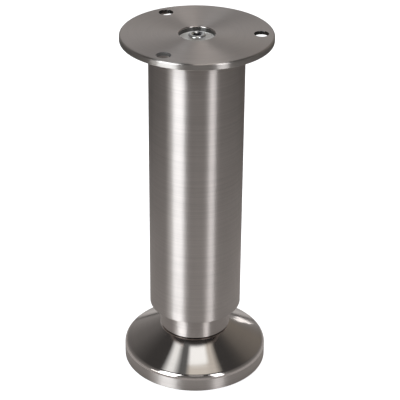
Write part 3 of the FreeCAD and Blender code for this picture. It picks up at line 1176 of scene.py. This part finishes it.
@dataclass(frozen=True)
class Card:
    """Flat studio card that faces the leg: a softbox, a reflector or a backdrop.

    turn is its azimuth from the camera's side in degrees, positive to the right, and climb its elevation. radiance is
    what it sends out. lights says whether mat surfaces see it too.
    """

    name: str
    turn: float
    climb: float
    distance: float
    width: float
    height: float
    radiance: float
    tint: Colour = WHITE
    lights: bool = True
    target: tuple[float, float, float] = (0.0, 0.0, 0.1)

    def build(self) -> None:
        """Places the card: centre plus width along its right and height along its up, with its face to the target."""
        turn = math.radians(self.turn)
        away = direction(turn, math.radians(self.climb))
        right = np.array([math.cos(turn), math.sin(turn), 0.0])
        up = np.cross(away, right)
        centre = np.array(self.target) + away * self.distance
        half = np.array([-0.5, 0.5])
        points = centre + (half * self.width)[:, None] * right + (half * self.height)[:, None, None] * up
        kit = NodeKit(self.name + "_glow")
        shine = kit.add("Emission", None, Color=opaque(self.tint), Strength=self.radiance).outputs[0]
        stage_grid(self.name, points, kit.output(shine), self.lights)


@dataclass(frozen=True)
class Tent:
    """Grey studio that polished steel mirrors: a dome by elevation and a table top by distance from the leg.

    Only glossy rays see it. dome holds pairs of elevation in degrees and radiance, top pairs of distance and radiance.
    dip is how far the dome reaches below the level.
    """

    dome: tuple[tuple[float, float], ...] = (
        (-8.0, 0.34), (0.0, 0.32), (10.0, 0.24), (20.0, 0.18), (30.0, 0.15), (40.0, 0.10), (50.0, 0.06), (90.0, 0.05))
    # The top's first stops keep it dark out to the foot's rim: a painted contact shadow, which the rim's lower edge
    # mirrors.
    top: tuple[tuple[float, float], ...] = (
        (0.0, 0.02), (0.039, 0.02), (0.044, 0.48), (0.055, 0.45), (0.072, 0.36), (0.095, 0.47), (0.12, 0.58),
        (0.16, 0.55), (0.22, 0.46), (0.26, 0.38), (0.285, 0.2), (0.32, 0.1), (0.5, 0.08), (2.4, 0.08))
    tint: Colour = (1.0, 0.985, 0.97)
    radius: float = 2.5
    steps: int = 48
    top_rows: int = 3
    dip: float = math.radians(7.5)
    drop: float = 0.1 * MM

    def build(self) -> None:
        """Builds the dome and the top.

        The dome's point at elevation e and angle a is radius * (cos e cos a, cos e sin a, sin e). The top is a level
        polar grid.
        """
        e = np.linspace(-self.dip, math.pi / 2.0, self.steps // 2)[:, None]
        a = np.linspace(0.0, FULL_TURN, self.steps + 1)[None, :]
        shell = grid(np.cos(e) * np.cos(a), np.cos(e) * np.sin(a), np.sin(e))
        stops = [(math.sin(math.radians(x)), y) for x, y in self.dome]
        stage_grid("tent_dome", shell * self.radius, self.graded("tent_dome_grey", stops, True))
        r = np.linspace(0.0, self.radius, self.top_rows)[:, None]
        level = grid(r * np.cos(a), r * np.sin(a), -self.drop)
        stage_grid("tent_top", level, self.graded("tent_top_grey", self.top, False))

    def graded(self, name: str, stops: Sequence[tuple[float, float]], rising: bool) -> Material:
        """Glow whose radiance follows the stops, by the sine of the elevation or by the distance from the axis.

        Args:
            name: Name of the material.
            stops: Pairs of sine or distance, and radiance.
            rising: True for the sine of the elevation.

        Returns:
            The material.
        """
        kit = NodeKit(name)
        place = kit.object_place()
        if rising:
            measure = kit.add("SeparateXYZ", None, _0=kit.vector("NORMALIZE", place).outputs[0]).outputs[2]
        else:
            measure = kit.vector("LENGTH", kit.off_axis(place)).outputs["Value"]
        low, high = stops[0][0], stops[-1][0]
        ramp = kit.add("ValToRGB", None, Fac=kit.span(measure, low, high, 0.0, 1.0))
        band = ramp.color_ramp.elements
        while len(band) < len(stops):
            band.new(0.5)
        for element, (where, radiance) in zip(band, stops):
            element.position = (where - low) / (high - low)
            element.color = opaque(self.tint, radiance)
        return kit.output(kit.add("Emission", None, Color=ramp.outputs[0], Strength=1.0).outputs[0])


def stage_grid(name: str, points: Array, material: Material, lights: bool = False) -> Piece:
    """Stage surface on a grid, which glossy rays see and the camera doesn't.

    Args:
        name: Name of the object.
        points: Grid of points (rows, columns, 3).
        material: What it wears.
        lights: Whether mat surfaces see it too.

    Returns:
        The stage object.
    """
    mesh = bpy.data.meshes.new(name)
    mesh.from_pydata(points.reshape(-1, 3).tolist(), [], grid_quads(*points.shape[:2]).tolist())
    mesh.materials.append(material)
    made = bpy.data.objects.new(name, mesh)
    bpy.context.scene.collection.objects.link(made)
    made.visible_camera = False
    made.visible_diffuse = lights
    made.visible_transmission = False
    made.visible_shadow = False
    return made


def soft_band(values: Array, low: float, high: float, fade_low: float, fade_high: float) -> Array:
    """Share of a soft-edged band: it rises from 0 to 1 over fade_low about low, and falls over fade_high about high."""
    return np.clip((values - low) / fade_low + 0.5, 0.0, 1.0) * np.clip((high - values) / fade_high + 0.5, 0.0, 1.0)


def stage_wash(name: str, points: Array, light: Array, cover: Array) -> None:
    """Stage surface on a grid that shines by its own light at each point, with soft edges that let the studio through.

    Args:
        name: Name of the object.
        points: Grid of points (rows, columns, 3), whose lit side is the side that its normals look to.
        light: What each point sends out (rows, columns, 3).
        cover: Share of what is behind each point that it hides (rows, columns).
    """
    kit = NodeKit(name + "_glow")
    own = kit.add("Attribute", {"attribute_name": "light"})
    shine = kit.add("Emission", None, Color=own.outputs["Color"], Strength=1.0).outputs[0]
    rest = kit.add("BsdfTransparent", None, Color=kit.math("SUBTRACT", 1.0, own.outputs["Alpha"])).outputs[0]
    lit = kit.add("AddShader", None, _0=shine, _1=rest).outputs[0]
    mesh = stage_grid(name, points, kit.output(kit.one_sided(lit))).data
    values = np.concatenate([light, cover[..., None]], axis=-1).astype(np.float32)
    mesh.attributes.new("light", "FLOAT_COLOR", "POINT").data.foreach_set("color", values.ravel())


@dataclass(frozen=True)
class Sector:
    """Part of a coned ring with soft edges: between two angles in degrees from the camera's side, and two radii.

    fade_low and fade_high are the widths in degrees over which its light rises at low and falls at high. The outer
    radius lies beyond the ring unless it is given.
    """

    low: float
    high: float
    fade_low: float
    fade_high: float
    inner: float
    radiance: float
    tint: Colour = (0.935, 0.99, 1.0)
    outer: float = 60.0 * MM


@dataclass(frozen=True)
class Bounce:
    """White reflector over the front of the foot, which lights its polished cone from above in soft sectors.

    It lies on a cone that rises outward, so that tube and sleeve are on its dark side, and its sectors fan out as they
    rise, as the rays do that the foot mirrors. Only its lower side shines, and only glossy rays see it.
    """

    sectors: tuple[Sector, ...] = (
        Sector(-28.7, -17.4, 7.0, 7.0, 23.9 * MM, 1.27),
        Sector(-15.0, -6.5, 3.0, 3.0, 22.0 * MM, 0.15),
        Sector(-6.3, 14.2, 4.5, 5.0, 23.6 * MM, 1.46, outer=34.8 * MM),
        Sector(-6.3, 14.2, 4.5, 5.0, 34.8 * MM, 0.82, WARM),
        Sector(14.2, 23.5, 5.0, 7.0, 23.6 * MM, 0.72, WARM),
    )
    low_radius: float = 20.3 * MM
    high_radius: float = 54.0 * MM
    low_height: float = 26.5 * MM
    slope: float = 1.0
    fan: float = 1.42
    fan_per_metre: float = 10.0
    reach: tuple[float, float] = (-36.0, 29.0)
    fade: float = 2.0 * MM
    rows: int = 48
    columns: int = 132

    def build(self) -> None:
        """Builds the reflector, whose light is the sum of the sectors' soft bands.

        With rise = r - low radius and a = t * (fan + fan per metre * rise), its point at radius r and angle t is
        (r sin a, -r cos a, low height + slope * rise).
        """
        r = np.linspace(self.low_radius, self.high_radius, self.rows)[:, None]
        t = np.linspace(*self.reach, self.columns)[None, :]
        rise = r - self.low_radius
        a = np.radians(t) * (self.fan + self.fan_per_metre * rise)
        points = grid(r * np.sin(a), -r * np.cos(a), self.low_height + self.slope * rise)
        shares = [soft_band(t, part.low, part.high, part.fade_low, part.fade_high)
                  * soft_band(r, part.inner, part.outer, self.fade, self.fade) for part in self.sectors]
        light = sum(share[..., None] * np.array(part.tint) * part.radiance for share, part in zip(shares, self.sectors))
        stage_wash("bounce", points, light, np.clip(sum(shares), 0.0, 1.0))


@dataclass(frozen=True)
class Wash:
    """Dim warm wall to the right of the leg, which rises softly out of the grey studio; only glossy rays see it.

    turns and climbs are its edges in degrees, from the camera's side and from the level, and fades the widths of its
    soft edges: before the first turn, after the second turn, and at both climbs.
    """

    turns: tuple[float, float] = (126.0, 165.0)
    climbs: tuple[float, float] = (14.0, 52.0)
    fades: tuple[float, float, float] = (50.0, 16.0, 14.0)
    radiance: float = 0.23
    tint: Colour = (1.0, 0.92, 0.8)
    distance: float = 1.5
    rows: int = 24
    columns: int = 48

    def build(self) -> None:
        """Builds the wall, whose point at turn a and climb e is distance times that direction, facing the leg."""
        before, after, around = self.fades
        a = np.linspace(self.turns[0] - before / 2.0, self.turns[1] + after / 2.0, self.columns)[None, :]
        e = np.linspace(self.climbs[0] - around / 2.0, self.climbs[1] + around / 2.0, self.rows)[:, None]
        share = soft_band(a, *self.turns, before, after) * soft_band(e, *self.climbs, around, around)
        points = direction(np.radians(a), np.radians(e)) * self.distance
        light = share[..., None] * np.array(self.tint) * self.radiance
        stage_wash("wall_right", points[:, ::-1], light[:, ::-1], share[:, ::-1])


@dataclass(frozen=True)
class Viewpoint:
    """Camera at the photograph's viewing angle: its place, its turns in degrees and its lens in millimetres."""

    place: tuple[float, float, float] = (0.0, -0.7036, 0.4869)
    elevation: float = 28.653
    roll: float = 0.435
    pan: float = 0.164
    tilt: float = -0.161
    lens: float = 132.14
    sensor: float = 36.0
    near: float = 0.01

    def build(self) -> None:
        """Turns the view down by the elevation, then rolls, pans and tilts it, and makes the camera."""
        e, r, a, b = (math.radians(x) for x in (self.elevation, self.roll, self.pan, self.tilt))
        right = np.array([1.0, 0.0, 0.0])
        ahead = np.array([0.0, math.cos(e), -math.sin(e)])
        up = np.array([0.0, math.sin(e), math.cos(e)])
        rolled_right = math.cos(r) * right + math.sin(r) * up
        rolled_up = -math.sin(r) * right + math.cos(r) * up
        x_axis = math.cos(a) * rolled_right - math.sin(a) * ahead
        panned = math.sin(a) * rolled_right + math.cos(a) * ahead
        y_axis = math.cos(b) * rolled_up - math.sin(b) * panned
        z_axis = -(math.sin(b) * rolled_up + math.cos(b) * panned)
        data = bpy.data.cameras.new("camera")
        data.sensor_width = self.sensor
        data.lens = self.lens
        data.clip_start = self.near
        camera = bpy.data.objects.new("camera", data)
        turn = Matrix(np.stack([x_axis, y_axis, z_axis], axis=1).tolist()).to_4x4()
        camera.matrix_world = Matrix.Translation(Vector(self.place)) @ turn
        bpy.context.scene.collection.objects.link(camera)
        bpy.context.scene.camera = camera


@dataclass
class Studio:
    """Pale floor and white surroundings, the softboxes, and the grey studio that the steel mirrors."""

    floor_half: float = 9.0
    floor_drop: float = 0.2 * MM
    floor_colour: Colour = (0.8, 0.8, 0.8)
    floor_glow: float = 0.86
    sky: float = 0.35
    cards: Sequence[Card] = ()

    def build(self) -> None:
        """Builds the floor, the surroundings, the grey studio and the cards, and sets the plain view transform."""
        bpy.context.scene.view_settings.view_transform = "Standard"
        self.floor()
        self.surroundings()
        for mirrored in (Tent(), Bounce(), Wash()):
            mirrored.build()
        for card in self.cards:
            card.build()
            log.info("card %s at %g degrees", card.name, card.turn)

    @staticmethod
    def seen(kit: NodeKit) -> Socket:
        """1 for rays that see the background: camera, glossy and transmission rays."""
        path = kit.add("LightPath")
        both = kit.math("ADD", path.outputs["Is Camera Ray"], path.outputs["Is Glossy Ray"])
        return kit.add("Math", {"operation": "ADD", "use_clamp": True}, _0=both,
                       _1=path.outputs["Is Transmission Ray"]).outputs[0]

    def floor(self) -> None:
        """Floor: pale and mat, lifted to white where it is seen, and clear from below."""
        kit = NodeKit("floor_pale")
        mat = kit.add("BsdfDiffuse", None, Color=opaque(self.floor_colour)).outputs[0]
        lift = kit.math("MULTIPLY", self.seen(kit), self.floor_glow)
        white = kit.add("Emission", None, Color=opaque(WHITE), Strength=lift).outputs[0]
        pale = kit.add("AddShader", None, _0=mat, _1=white).outputs[0]
        side = np.array([-self.floor_half, self.floor_half])
        corners = grid(side, side[:, None], -self.floor_drop)
        floor = stage_grid("floor", corners, kit.output(kit.one_sided(pale)), True)
        floor.visible_camera = True
        floor.visible_transmission = True
        floor.visible_shadow = True

    def surroundings(self) -> None:
        """World: white where it is seen, and an even grey light otherwise."""
        kit = NodeKit("surroundings", world=True)
        strength = kit.span(self.seen(kit), 0.0, 1.0, self.sky, 1.0)
        back = kit.add("Background", None, Color=opaque(WHITE), Strength=strength).outputs[0]
        bpy.context.scene.world = kit.output(back)


CARDS = (
    Card("softbox_left", -41.5, 22.0, 1.1, 0.545, 1.1, 4.9, (0.935, 1.0, 1.04)),
    Card("softbox_left_low", -60.0, 0.0, 0.6, 0.14, 0.11, 2.6, (0.97, 1.0, 1.0), target=(0.0, 0.0, 0.062)),
    Card("softbox_right", 37.0, 22.0, 1.1, 0.29, 1.1, 3.15, (0.97, 1.0, 1.03)),
    Card("softbox_over", 0.0, 90.0, 1.0, 0.27, 0.9, 1.1, (1.0, 0.97, 0.93), target=(0.1, 0.1, 0.0)),
    Card("backdrop_middle", 180.0, 27.0, 2.0, 1.5, 1.2, 0.38, lights=False),
    Card("backdrop_low", 183.0, 5.0, 2.0, 0.9, 0.3, 0.8, lights=False),
    Card("reflector_front", 3.0, 46.0, 1.1, 0.36, 0.45, 0.5, lights=False),
    Card("reflector_behind", 142.3, 0.0, 0.0793, 0.013, 0.004, 1.7, lights=False, target=(0.0, 0.0, 0.0195)),
    Card("reflector_behind_side", 141.7, 0.0, 0.08, 0.007, 0.0065, 1.5, lights=False, target=(0.0, 0.0, 0.025)),
)


def main() -> None:
    """Builds the leg's sub-assemblies in order, then the studio and the camera."""
    logging.basicConfig(level=logging.INFO, format="%(name)s: %(message)s", force=True)
    for assembly in (SwivelFoot(), Adjuster(), Column(), MountingHead()):
        assembly.build()
        log.info("%s is built", type(assembly).__name__)
    Studio(cards=CARDS).build()
    Viewpoint().build()


if __name__ == "__main__":
    main()
